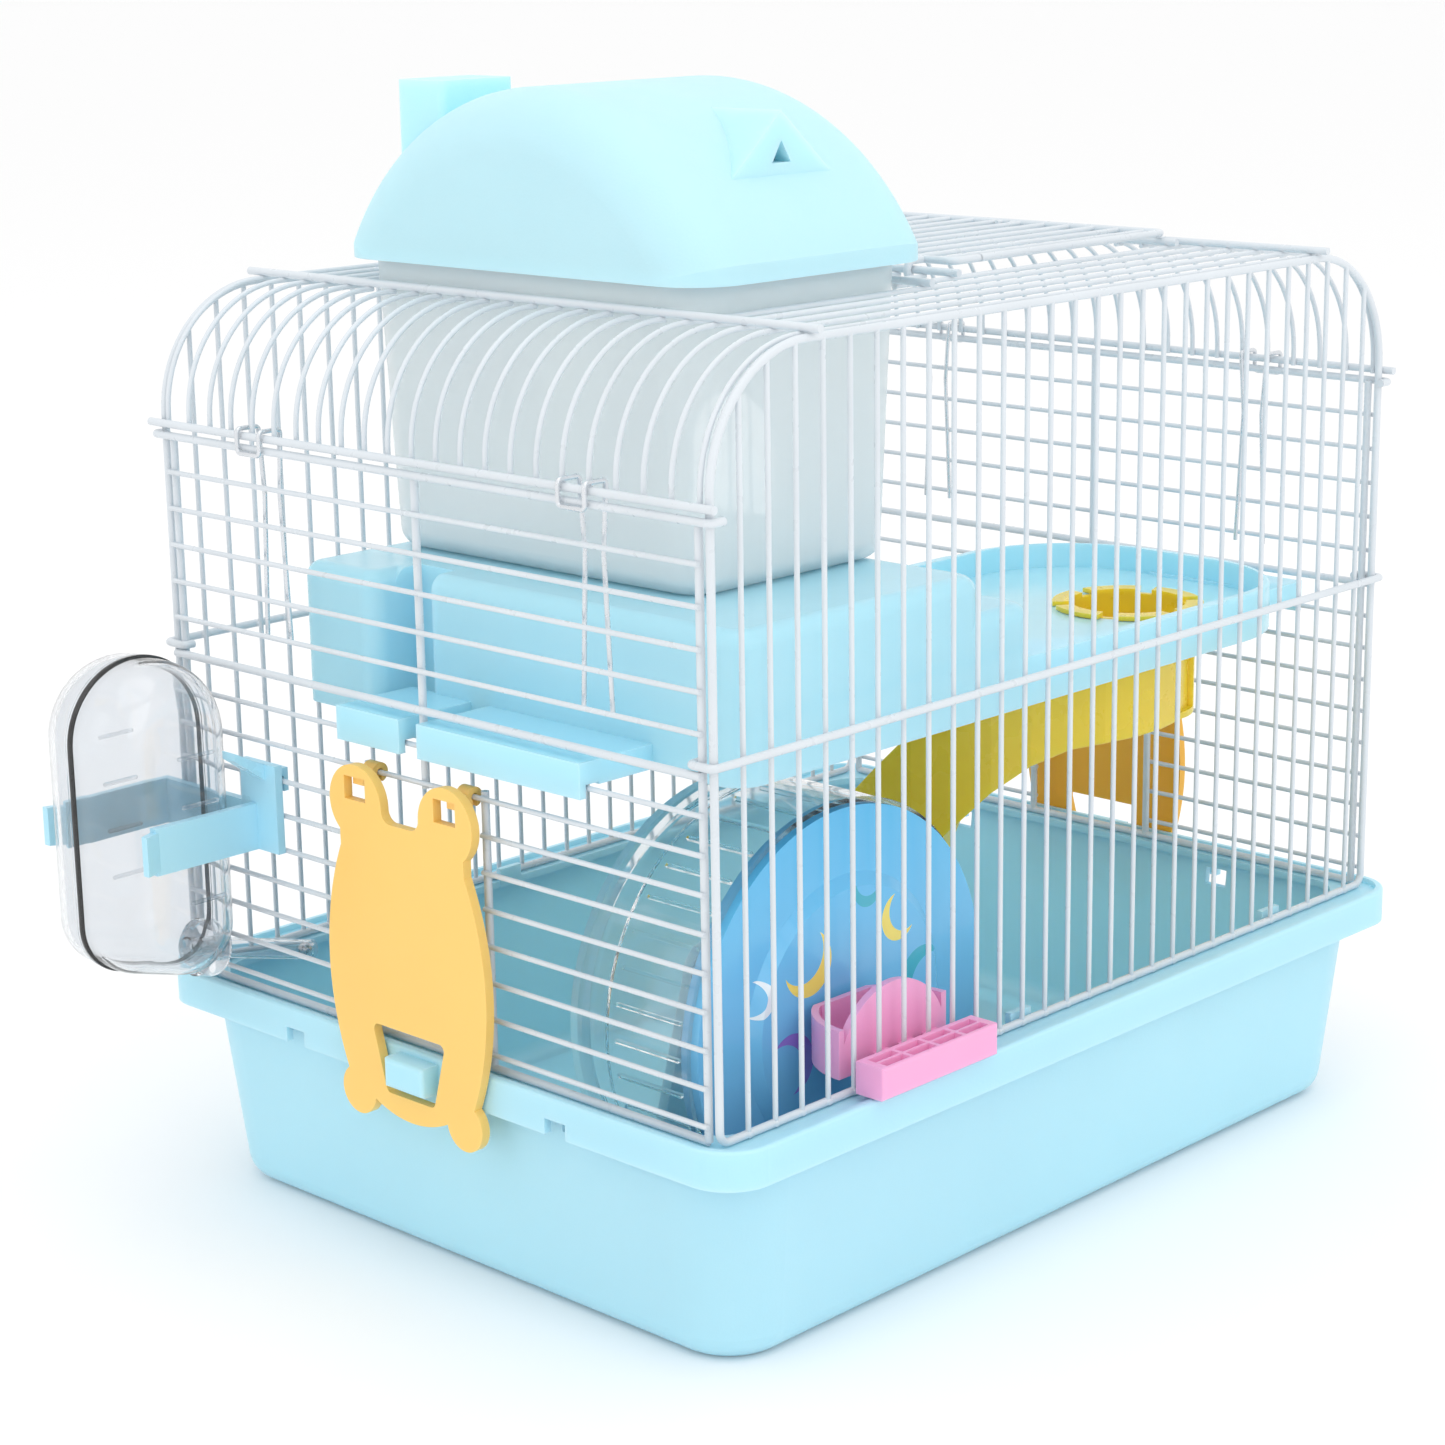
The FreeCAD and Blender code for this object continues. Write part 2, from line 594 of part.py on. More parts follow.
def hook_rail(end, y0, y1):
    """Rail on the second floor's end that hooks down over one infill wire of the end grille."""
    inward = -floor_start - 1 if end < 0 else floor_end - 4
    rail = box(-rail_out, -inward, y0, y1, under_z + 0.4, rail_top)
    lip = box(-rail_out, -infill_x - thin - 0.45, y0, y1, rail_foot, rail_top)
    whole = fuse([rail, lip])
    groove = box(-infill_x - thin - 0.45, -upright_x + thick + 0.6, y0 - 1, y1 + 1, rail_foot - 1, rail_wire_z + thin + 0.4)
    whole = whole.cut(groove)
    return whole if end < 0 else both_ends(whole)


def second_floor():
    outside = floor_shape(0.0, 0.0)
    body = outside.cut(floor_shape(floor_wall, floor_wall))
    basin = rounded_room(step_end + 3, floor_end - floor_wall - 1.2, floor_front + floor_wall + 1.2,
                         deck_back - floor_wall - 1.2, basin_z, deck_top + 1, deck_corner - 6)
    body = body.cut(basin)
    body = body.cut(Part.makeCylinder(slide_hole, 30, V(slide_hole_x, slide_hole_y, under_z - 1)))
    rails = [hook_rail(-1, -58, -2.4), hook_rail(-1, 4, block_front - 3), hook_rail(1, 30, 70)]
    return fuse([body] + rails)


# ---------------------------------------------------------------- slide
chute_mid = 40.0            # radius of the chute's middle round the turn
chute_half = 17.0
chute_wall = 1.8
chute_outer_wall = 37.0
chute_inner_wall = 13.0
start_angle = -64.0
end_angle = -236.0
turn_x = slide_hole_x - chute_mid * math.cos(math.radians(start_angle))
turn_y = slide_hole_y - chute_mid * math.sin(math.radians(start_angle))


def chute_floor(angle):
    """Height of the chute's floor at an angle round the turn, in degrees from +X."""
    swept = -angle
    flat = ledge_height + 54.0
    if swept < 112:
        return flat
    if swept < 146:
        return flat - 0.0152 * (swept - 112) ** 2
    return flat - 0.0152 * 34 ** 2 - 1.02 * (swept - 146)


def chute_section(angle):
    a = math.radians(angle)
    across = V(math.cos(a), math.sin(a), 0)
    floor = chute_floor(angle)
    hang = under_z - 1.0
    outer_top = min(hang, floor + chute_outer_wall)
    inner_top = min(hang, floor + chute_inner_wall)
    near, far = chute_mid - chute_half, chute_mid + chute_half
    profile = [(near, inner_top), (near, floor), (far, floor), (far, outer_top),
               (far - chute_wall, outer_top), (far - chute_wall, floor + chute_wall),
               (near + chute_wall, floor + chute_wall), (near + chute_wall, inner_top)]
    points = [V(turn_x, turn_y, z) + across * r for r, z in profile]
    return Part.makePolygon(points + [points[0]])


def slide():
    """Spiral slide: flanged ring in the deck's hole, a cup under it and a chute down to the tray."""
    steps = 16
    angles = [start_angle + i * (end_angle - start_angle) / steps for i in range(steps + 1)]
    chute = Part.makeLoft([chute_section(a) for a in angles], True, True)
    cup_foot = chute_floor(start_angle)
    cup_top = under_z - 1.0
    cup_r = chute_half + 1.5
    hole = V(slide_hole_x, slide_hole_y, 0)
    cup = Part.makeCylinder(cup_r, cup_top - cup_foot, hole + V(0, 0, cup_foot))
    hollow = Part.makeCylinder(cup_r - chute_wall, 100, hole + V(0, 0, cup_foot + chute_wall))
    mouth = box(-60, 60, -60, 0, cup_foot + chute_wall, cup_top + 5)
    mouth.rotate(V(0, 0, 0), V(0, 0, 1), start_angle)
    mouth.translate(hole)
    cup = cup.cut(hollow).cut(mouth)
    neck = Part.makeCylinder(slide_hole - part_gap, basin_z + 1.4 - cup_top + 0.2, hole + V(0, 0, cup_top - 0.2))
    flange = Part.makeCylinder(slide_hole + 2.6, 1.2, hole + V(0, 0, basin_z + 0.2))
    bore = Part.makeCylinder(slide_hole - part_gap - chute_wall, 40, hole + V(0, 0, cup_top - 5))
    ring = fuse([neck, flange]).cut(bore)
    for i in range(6):
        notch = box(slide_hole - 7, slide_hole + 5, -2.2, 2.2, basin_z + 0.1, basin_z + 3)
        notch.rotate(V(0, 0, 0), V(0, 0, 1), i * 60 + 20)
        notch.translate(hole)
        ring = ring.cut(notch)
    return fuse([cup, ring, chute])


# ---------------------------------------------------------------- exercise wheel
wheel_back = wheel_front + wheel_depth
stand_y = wheel_back + 3.0
stand_thick = 3.0
boss_long = 10.0
floor_z = tray_wall


def turned(profile):
    """Revolve an (radius, y) outline about the wheel's axis."""
    points = [V(wheel_x + r, y, wheel_height) for r, y in profile]
    face = Part.Face(Part.makePolygon(points + [points[0]]))
    return face.revolve(V(wheel_x, 0, wheel_height), V(0, 1, 0), 360)


def wheel_disc():
    """Solid front disc with a raised centre and the hub that turns on the axle."""
    front, w = wheel_front, 1.8
    bore = axle_radius + axle_clearance
    hub_end = stand_y - boss_long - part_gap
    profile = [(bore, hub_end), (bore + 2.4, hub_end), (bore + 3.0, front + 2 + w),
               (32, front + w - 0.6), (35, front + w + 1.8), (wheel_radius - 3, front + w + 1.8),
               (wheel_radius - 3, front + w + 5), (wheel_radius - 1.4, front + w + 5),
               (wheel_radius - 1.4, front + 1.6), (35, front + 1.6), (32, front - 0.6), (6, front - 0.6),
               (5.0, front + 1.0), (bore, front + 1.0)]
    return turned(profile)


def wheel_drum():
    """Clear running drum: a ribbed band pressed on the disc, with a rolled rim at the open back."""
    front = wheel_front + 1.8 + 1.8 + 3.2
    outer = wheel_radius
    inner_r = outer - 1.3
    step_in = 1.2
    profile = [(inner_r, front - 3.0), (outer, front - 3.0), (outer, wheel_back - 12), (outer - step_in, wheel_back - 11),
               (outer - step_in, wheel_back - 5), (outer, wheel_back - 4), (outer, wheel_back),
               (inner_r - 4.5, wheel_back), (inner_r - 4.5, wheel_back - 1.3), (inner_r, wheel_back - 1.3),
               (inner_r - step_in, wheel_back - 6), (inner_r - step_in, wheel_back - 10),
               (inner_r, wheel_back - 12)]
    band = turned(profile)
    ribs = []
    for i in range(36):
        rib = box(inner_r - 1.0, inner_r + 0.4, front + 1.0, wheel_back - 14, -0.45, 0.45)
        rib.rotate(V(0, 0, 0), V(0, 1, 0), i * 10)
        rib.translate(V(wheel_x, 0, wheel_height))
        ribs.append(rib)
    return fuse([band] + ribs)


def wheel_stand():
    """Upright of the wheel's stand with its foot on the tray floor, behind the drum's open side."""
    y0 = stand_y
    y1 = stand_y + stand_thick
    outline = [(-26, floor_z + 0.2), (26, floor_z + 0.2), (26, floor_z + 4), (8, wheel_height), (-8, wheel_height),
               (-26, floor_z + 4)]
    post = extruded([(wheel_x + x, y0, z) for x, z in outline], (0, stand_thick, 0))
    head = Part.makeCylinder(8, stand_thick, V(wheel_x, y0, wheel_height), V(0, 1, 0))
    foot = box(wheel_x - 30, wheel_x + 30, y0 - 14, y1 + 14, floor_z + 0.2, floor_z + 3.4)
    boss = Part.makeCylinder(5.5, boss_long + 1, V(wheel_x, y0 - boss_long, wheel_height), V(0, 1, 0))
    body = fuse([post, head, foot, boss])
    return body.cut(Part.makeCylinder(axle_radius, 60, V(wheel_x, y0 - 30, wheel_height), V(0, 1, 0)))


def wheel_axle():
    """Steel pin pressed in the stand; the wheel's hub turns on it."""
    start = wheel_front + 1.6
    pin = Part.makeCylinder(axle_radius, stand_y + stand_thick - start, V(wheel_x, start, wheel_height), V(0, 1, 0))
    return pin


def wheel_cap():
    """Push-on cap in the disc's middle that covers the pin's end."""
    return Part.makeCylinder(4.9, 1.4, V(wheel_x, wheel_front - 0.6, wheel_height), V(0, 1, 0))


# ---------------------------------------------------------------- food dish
dish_x = -67.0
dish_out = side_infill_y + thin + 2.2
dish_in = side_y - 3.4
dish_deep = 17.0
dish_foot = lip_z + 0.4


def food_dish():
    """Bar outside the grille with eight pockets, joined between the wires to a bowl inside."""
    bar_half, bar_wide, bar_tall = 21.0, 8.5, 8.0
    y0 = -dish_out - bar_wide
    bar = box(dish_x - bar_half, dish_x + bar_half, y0, -dish_out, dish_foot, dish_foot + bar_tall)
    bar = rounded_edges(bar, 0.8, lambda e: e.BoundBox.Center.y < y0 + 0.01)
    for i in range(4):
        for j in range(2):
            x = dish_x + (i - 1.5) * 9.6
            y = y0 + 1.1 + j * 3.4
            bar = bar.cut(box(x - 4.2, x + 4.2, y, y + 2.6, dish_foot + bar_tall - 2.4, dish_foot + bar_tall + 1))
    plate_y = -dish_in
    plate_z = dish_foot + 1.2
    plate = box(dish_x - 19.5, dish_x + 19.5, plate_y, plate_y + 2.0, plate_z, plate_z + 4)
    arch = Part.makeCylinder(19.5, 2.0, V(dish_x, plate_y, plate_z), V(0, 1, 0))
    arch = arch.common(box(dish_x - 30, dish_x + 30, plate_y - 1, plate_y + 3, plate_z, plate_z + 40))
    bowl = Part.makeCylinder(19.5, 12, V(dish_x, plate_y, plate_z))
    bowl = bowl.cut(Part.makeCylinder(17.7, 12, V(dish_x, plate_y, plate_z + 1.8)))
    bowl = bowl.common(box(dish_x - 30, dish_x + 30, plate_y, plate_y + dish_deep, plate_z - 1, plate_z + 30))
    back = box(dish_x - 8.5, dish_x + 8.5, plate_y + dish_deep - 1.8, plate_y + dish_deep, plate_z, plate_z + 12)
    parts = [bar, plate, arch, bowl, back]
    pitch = cage_length / (side_wires + 1)
    first = -post_x + pitch * (math.ceil((dish_x - 15 + post_x) / pitch) + 0.5)
    for i in range(3):
        x = first + i * pitch
        parts.append(box(x - 2.6, x + 2.6, -dish_out - 1, plate_y + 1, dish_foot + 1.8, dish_foot + 4.8))
    return fuse(parts)


# ---------------------------------------------------------------- drinking bottle
nozzle_tilt = 15.0
nozzle_radius = 2.7
nozzle_cross_z = end_mid_z - (lower_infill - 0.5) * lower_pitch
bottle_wall = 1.6
bottle_corner = 10.0
along = V(math.cos(math.radians(nozzle_tilt)), 0, -math.sin(math.radians(nozzle_tilt)))
crossing = V(-infill_x, bottle_y, nozzle_cross_z)


def bottle_form(inset):
    """Bottle's form, drawn from its side and cut to a round-cornered plan."""
    half = bottle_deep / 2 - inset
    shoulder = bottle_base + bottle_tall - bottle_deep / 2
    x0, x1 = bottle_x - half, bottle_x + half
    low = bottle_base + inset
    points = [V(x0, 0, shoulder), V(x0, 0, low + 16), V(x0 + 6, 0, low + 10), V(x1 - 7, 0, low), V(x1, 0, low + 7),
              V(x1, 0, shoulder)]
    edges = [Part.LineSegment(a, b).toShape() for a, b in zip(points, points[1:])]
    edges.append(Part.Arc(points[-1], V(bottle_x, 0, shoulder + half), points[0]).toShape())
    side = Part.Face(Part.Wire(edges)).extrude(V(0, bottle_wide + 20, 0))
    side.translate(V(0, bottle_y - bottle_wide / 2 - 10, 0))
    plan = rounded_block(half, bottle_wide / 2 - inset, bottle_corner - inset, 0, 300, bottle_x, bottle_y)
    return side.common(plan)


cap_long = 7.0
cap_radius = 7.5
cap_front = crossing - along * 3.4


def bottle_half(side):
    """One moulded half of the bottle, split along its middle, with the neck's half hole."""
    shell = bottle_form(0).cut(bottle_form(bottle_wall))
    shell = shell.cut(Part.makeCylinder(cap_radius + 0.2, 30, cap_front - along * cap_long, along))
    shell = shell.cut(Part.makeCylinder(4.0, 40, cap_front - along * 30, along))
    for i in range(3):
        z = bottle_base + bottle_tall - bottle_deep / 2 - 4 - i * 9
        for x in (bottle_x - bottle_deep / 2, bottle_x + bottle_deep / 2):
            y = bottle_y + side * bottle_wide / 2
            shell = shell.cut(box(x - 9, x + 9, y - 4, y + 4, z, z + 1.2).cut(bottle_form(0.5)))
    y0 = bottle_y + 0.05 if side > 0 else bottle_y - bottle_wide
    y1 = bottle_y + bottle_wide if side > 0 else bottle_y - 0.05
    return shell.common(box(bottle_x - 60, bottle_x + 60, y0, y1, 0, 300))


def bottle_cap():
    """Domed cap in the bottle's neck; the drinking tube passes through it."""
    cap = Part.makeCylinder(cap_radius, cap_long - 0.4, cap_front - along * (cap_long - 0.4), along)
    front = cap_front
    cap = rounded_edges(cap, 2.0, lambda e: (e.BoundBox.Center - front).Length < 0.1)
    return cap.cut(Part.makeCylinder(nozzle_radius + 0.05, 40, cap_front - along * 20, along))


nozzle_long = 42.0


def bottle_nozzle():
    tube = Part.makeCylinder(nozzle_radius, nozzle_long, cap_front - along * (cap_long + 3), along)
    tube = tube.cut(Part.makeCylinder(nozzle_radius - 0.6, nozzle_long + 2, cap_front - along * (cap_long + 4), along))
    tip = cap_front + along * (nozzle_long - cap_long - 3)
    lip = Part.makeCylinder(nozzle_radius, 1.0, tip - along * 1.0, along)
    return fuse([tube, lip.cut(Part.makeCylinder(1.5, 3, tip - along * 2, along))])


def nozzle_ball():
    tip = cap_front + along * (nozzle_long - cap_long - 3)
    centre = tip - along * 2.3
    return Part.makeSphere(1.9, centre)


def bottle_holder():
    """Two sprung arms round the bottle on a back plate that clips over the end grille's wires."""
    back = infill_x + thin + 0.4
    plate_x0, plate_x1 = -back - 2.2, -back
    arm_low, arm_high = bottle_base + 33, bottle_base + 45
    gap = bottle_wide / 2 + part_gap
    y0, y1 = bottle_y - gap - 2.2, bottle_y + gap + 2.2
    parts = [box(plate_x0, plate_x1, y0, y1, arm_low, arm_high)]
    reach = 33.5
    for side in (-1, 1):
        inner_y = bottle_y + side * gap
        outer_y = inner_y + side * 2.2
        arm = box(plate_x1 - reach, plate_x1, min(inner_y, outer_y), max(inner_y, outer_y), arm_low, arm_high)
        tip = [(plate_x1 - reach + 1, inner_y, arm_low + 1), (plate_x1 - reach + 1, outer_y, arm_low + 1),
               (plate_x1 - reach - 4, outer_y + side * 2, arm_low + 1),
               (plate_x1 - reach - 4, inner_y + side * 2, arm_low + 1)]
        parts += [arm, extruded(tip, (0, 0, arm_high - arm_low - 2))]
    hook_wire_z = end_mid_z - 3 * lower_pitch
    clip_y0, clip_y1 = y0 - 8, y0 + 6
    parts.append(box(plate_x0, plate_x1, clip_y0, clip_y1, arm_low, hook_wire_z + 4.5))
    over = hook_wire_z + thin + 0.35
    parts.append(box(plate_x0, -infill_x + thin + 1.8, clip_y0 + 2, clip_y1 - 2, over, over + 2.0))
    parts.append(box(-infill_x + thin + 0.35, -infill_x + thin + 1.8, clip_y0 + 2, clip_y1 - 2, over - 4, over + 2))
    lever = [(plate_x0 + 0.5, clip_y0 + 4, hook_wire_z), (plate_x0 - 9, clip_y0 + 4, hook_wire_z + 7),
             (plate_x0 - 9, clip_y0 + 4, hook_wire_z + 9), (plate_x0 + 0.5, clip_y0 + 4, hook_wire_z + 4)]
    parts.append(extruded(lever, (0, 5, 0)))
    return fuse(parts)


# ---------------------------------------------------------------- doors
door_inner = rim_x + 0.5
door_thick = 2.5
door_ear = 9.5
door_ear_y = 16.2
door_hook_y = 17.0
door_ear_rise = 3.1         # hinge wire to the top of the ears
door_ear_z = hinge_z + door_ear_rise - door_ear


def disc_x(radius, y, z):
    return Part.makeCylinder(radius, door_thick, V(-door_inner - door_thick, y, z), V(1, 0, 0))


def door(end):
    """Two-lobed door plate hung from a wire by two hooks, its window snapped over the tray's block."""
    x0 = -door_inner - door_thick
    neck = (22.4, hinge_z - 18.0)
    belly = (28.4, hinge_z - 42.0)
    ankle = (22.6, ledge_height - 8.0)
    foot_z = ledge_height - 12.0
    hem = (14.0, ledge_height - 12.5)

    def line(a, b):
        return Part.LineSegment(V(x0, *a), V(x0, *b)).toShape()

    def arc(a, b, c):
        return Part.Arc(V(x0, *a), V(x0, *b), V(x0, *c)).toShape()

    def left(point):
        return (-point[0], point[1])

    outline = Part.Wire([line(left(neck), neck), arc(neck, belly, ankle), line(ankle, hem),
                         arc(hem, (0, hem[1] - 3.5), left(hem)), line(left(hem), left(ankle)),
                         arc(left(ankle), left(belly), left(neck))])
    parts = [Part.Face(outline).extrude(V(door_thick, 0, 0))]
    head = door_ear_y + door_ear - 3.4
    parts.append(box(x0, -door_inner, -head, head, neck[1] - 6, door_ear_z))
    for side in (-1, 1):
        parts.append(disc_x(door_ear, side * door_ear_y, door_ear_z))
        parts.append(disc_x(6.2, side * 19.4, foot_z))
    plate = fuse(parts)
    notch = door_ear_y - door_ear
    plate = plate.cut(rounded_edges(box(x0 - 1, -door_inner + 1, -notch, notch, door_ear_z - 3.2, door_ear_z + 30), 3.0,
                                    lambda e: e.BoundBox.XLength > door_thick and e.BoundBox.ZMax < door_ear_z))
    window_low, window_high = ledge_height - catch_height - 2.5, ledge_height + 7
    window = extruded([(x0 - 1, -8.6, window_low), (x0 - 1, 8.6, window_low), (x0 - 1, 13.3, window_high),
                       (x0 - 1, -13.3, window_high)], (door_thick + 2, 0, 0))
    window = rounded_edges(window, 1.6, lambda e: abs(e.BoundBox.XLength - door_thick - 2) < 0.01)
    plate = plate.cut(window)
    for side in (-1, 1):
        hole_y = side * door_ear_y
        plate = plate.cut(box(x0 - 1, -door_inner + 1, hole_y - 3.8, hole_y + 3.8, door_ear_z + 0.6, door_ear_z + 6.4))
    parts = [plate]
    for side in (-1, 1):
        y0 = side * door_hook_y - 2.0
        eye = Part.makeCylinder(thin + part_gap + 1.5, 4, V(-infill_x, y0, hinge_z), V(0, 1, 0))
        arm = box(-door_inner - 0.5, -infill_x, y0, y0 + 4, hinge_z - 2.4, hinge_z + 1.0)
        slot = box(-infill_x - 0.6, -infill_x + 0.6, y0 - 1, y0 + 5, hinge_z - 4, hinge_z)
        hook = fuse([eye, arm]).cut(slot)
        hook = hook.cut(Part.makeCylinder(thin + part_gap, 6, V(-infill_x, y0 - 1, hinge_z), V(0, 1, 0)))
        parts.append(hook)
    whole = fuse(parts)
    return whole if end < 0 else both_ends(whole)


# ---------------------------------------------------------------- one STEP file per piece
save("tray", tray())
save("side_panel_front", side_panel(-1))
save("side_panel_back", side_panel(1))
save("end_panel_near", end_panel(-1))
save("end_panel_far", end_panel(1))
save("roof_panel", roof_panel())
save("roof_curve_near", roof_bend_wires(-1))
save("roof_curve_far", roof_bend_wires(1))
save("roof_hatch", roof_hatch())
save("spring_clips", Part.makeCompound([spring_clip(end, y) for end in (-1, 1) for y in (-57.0, 57.0)]))
save("hut_body", hut_body())
save("hut_lid", hut_lid())
save("second_floor", second_floor())
save("slide", slide())
save("wheel_disc", wheel_disc())
save("wheel_drum", wheel_drum())
save("wheel_stand", wheel_stand())
save("wheel_axle", wheel_axle())
save("wheel_cap", wheel_cap())
save("food_dish", food_dish())
save("bottle_half_front", bottle_half(-1))
save("bottle_half_back", bottle_half(1))
save("bottle_cap", bottle_cap())
save("bottle_nozzle", bottle_nozzle())
save("nozzle_ball", nozzle_ball())
save("bottle_holder", bottle_holder())
save("near_door", door(-1))
save("far_door", door(1))
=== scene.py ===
import json
import math
import bmesh
import bpy
from mathutils import Matrix, Vector


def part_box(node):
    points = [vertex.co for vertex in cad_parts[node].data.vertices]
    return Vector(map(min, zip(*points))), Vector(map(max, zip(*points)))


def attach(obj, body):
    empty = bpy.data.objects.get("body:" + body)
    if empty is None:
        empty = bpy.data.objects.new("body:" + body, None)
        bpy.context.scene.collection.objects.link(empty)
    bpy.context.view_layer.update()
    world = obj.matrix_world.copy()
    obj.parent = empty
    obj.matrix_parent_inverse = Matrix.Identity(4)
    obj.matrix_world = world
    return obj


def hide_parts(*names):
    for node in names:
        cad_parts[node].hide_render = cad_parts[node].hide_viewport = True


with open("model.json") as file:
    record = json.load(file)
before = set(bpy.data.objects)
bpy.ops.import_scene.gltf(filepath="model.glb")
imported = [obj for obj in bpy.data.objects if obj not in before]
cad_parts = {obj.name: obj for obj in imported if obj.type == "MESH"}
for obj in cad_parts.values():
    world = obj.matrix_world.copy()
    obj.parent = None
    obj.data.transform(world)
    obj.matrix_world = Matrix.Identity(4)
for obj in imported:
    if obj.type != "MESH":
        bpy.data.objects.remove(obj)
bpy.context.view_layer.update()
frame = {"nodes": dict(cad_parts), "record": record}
nodes = frame["nodes"]
joints = {joint["name"]: joint for joint in frame["record"]["behaviour"]["joints"]}


# ---------------------------------------------------------------- tray
# The deep tray is one injection moulding in sky-blue polypropylene: a tapered tub with a hanging
# skirt round its rim, four slots in the skirt and a catch block at each end for the doors.
def new_material(name):
    material = bpy.data.materials.new(name)
    material.use_nodes = True
    tree = material.node_tree
    shader = tree.nodes["Principled BSDF"]
    return material, tree, shader


def object_place(tree):
    return tree.nodes.new("ShaderNodeTexCoord").outputs["Object"]


def noise(tree, place, scale, detail=2.0):
    node = tree.nodes.new("ShaderNodeTexNoise")
    node.inputs["Scale"].default_value = scale
    node.inputs["Detail"].default_value = detail
    tree.links.new(place, node.inputs["Vector"])
    return node.outputs["Fac"]


def remap(tree, value, low, high):
    node = tree.nodes.new("ShaderNodeMapRange")
    node.inputs["From Min"].default_value = 0.3
    node.inputs["From Max"].default_value = 0.7
    node.inputs["To Min"].default_value = low
    node.inputs["To Max"].default_value = high
    tree.links.new(value, node.inputs["Value"])
    return node.outputs["Result"]


def mix_colour(tree, factor, first, second):
    node = tree.nodes.new("ShaderNodeMix")
    node.data_type = "RGBA"
    for socket, value in ((node.inputs[0], factor), (node.inputs[6], first), (node.inputs[7], second)):
        if isinstance(value, (tuple, float)):
            socket.default_value = value
        else:
            tree.links.new(value, socket)
    return node.outputs[2]


def bump(tree, shader, height, strength, distance):
    node = tree.nodes.new("ShaderNodeBump")
    node.inputs["Strength"].default_value = strength
    node.inputs["Distance"].default_value = distance
    tree.links.new(height, node.inputs["Height"])
    tree.links.new(node.outputs["Normal"], shader.inputs["Normal"])


def shade(colour, factor):
    return tuple(min(1.0, c * factor) for c in colour[:3]) + (1.0,)


def moulded_plastic(name, colour, roughness, grain=0.05, glow=0.0):
    """Injection-moulded plastic: faint cloudiness from the melt, a fine spark-eroded mould grain."""
    material, tree, shader = new_material(name)
    place = object_place(tree)
    cloud = noise(tree, place, 22.0)
    clouded = mix_colour(tree, cloud, shade(colour, 0.955), shade(colour, 1.035))
    tree.links.new(clouded, shader.inputs["Base Color"])
    patches = noise(tree, place, 90.0, 4.0)
    tree.links.new(remap(tree, patches, roughness * 0.86, roughness * 1.14), shader.inputs["Roughness"])
    bump(tree, shader, noise(tree, place, 1400.0, 3.0), grain, 0.0004)
    shader.inputs["Specular IOR Level"].default_value = 0.45
    shader.inputs["Subsurface Weight"].default_value = glow
    shader.inputs["Subsurface Radius"].default_value = tuple(0.004 + 0.006 * c for c in colour[:3])
    shader.inputs["Subsurface Scale"].default_value = 1.0
    return material


def paint(node, material):
    for material_slot in nodes[node].material_slots:
        material_slot.material = material


sky_blue = moulded_plastic("sky_blue_polypropylene", (0.44, 0.775, 0.93), 0.36, 0.06, 0.35)
paint("tray", sky_blue)

# ---------------------------------------------------------------- wire panels
# Front, back, end and roof grilles are steel wire, spot-welded where the wires cross and then
# coated with white powder, which keeps a faint orange-peel skin.
wire_coat, wire_tree, wire_shader = new_material("white_powder_coat")
wire_place = object_place(wire_tree)
wire_cloud = noise(wire_tree, wire_place, 40.0)
wire_colour = mix_colour(wire_tree, wire_cloud, (0.62, 0.665, 0.705, 1.0), (0.72, 0.765, 0.805, 1.0))
wire_tree.links.new(wire_colour, wire_shader.inputs["Base Color"])
wire_gloss = remap(wire_tree, noise(wire_tree, wire_place, 300.0), 0.26, 0.38)
wire_tree.links.new(wire_gloss, wire_shader.inputs["Roughness"])
bump(wire_tree, wire_shader, noise(wire_tree, wire_place, 2600.0), 0.12, 0.0002)
wire_shader.inputs["Coat Weight"].default_value = 0.25
wire_shader.inputs["Coat Roughness"].default_value = 0.2

wire_panels = ("side_panel_front", "side_panel_back", "end_panel_near", "end_panel_far",
               "roof_panel", "roof_curve_near", "roof_curve_far", "roof_hatch")
for panel in wire_panels:
    paint(panel, wire_coat)


# ---------------------------------------------------------------- weld beads
# Each crossing of two wires is a small flattened weld, a low round bead under the powder coat.
# The beads stand in rows where the uprights meet the front and back panels' long wires.
def add_socket(tree, name, kind, value):
    socket = tree.interface.new_socket(name=name, in_out="INPUT", socket_type=kind)
    socket.default_value = value
    return socket.identifier


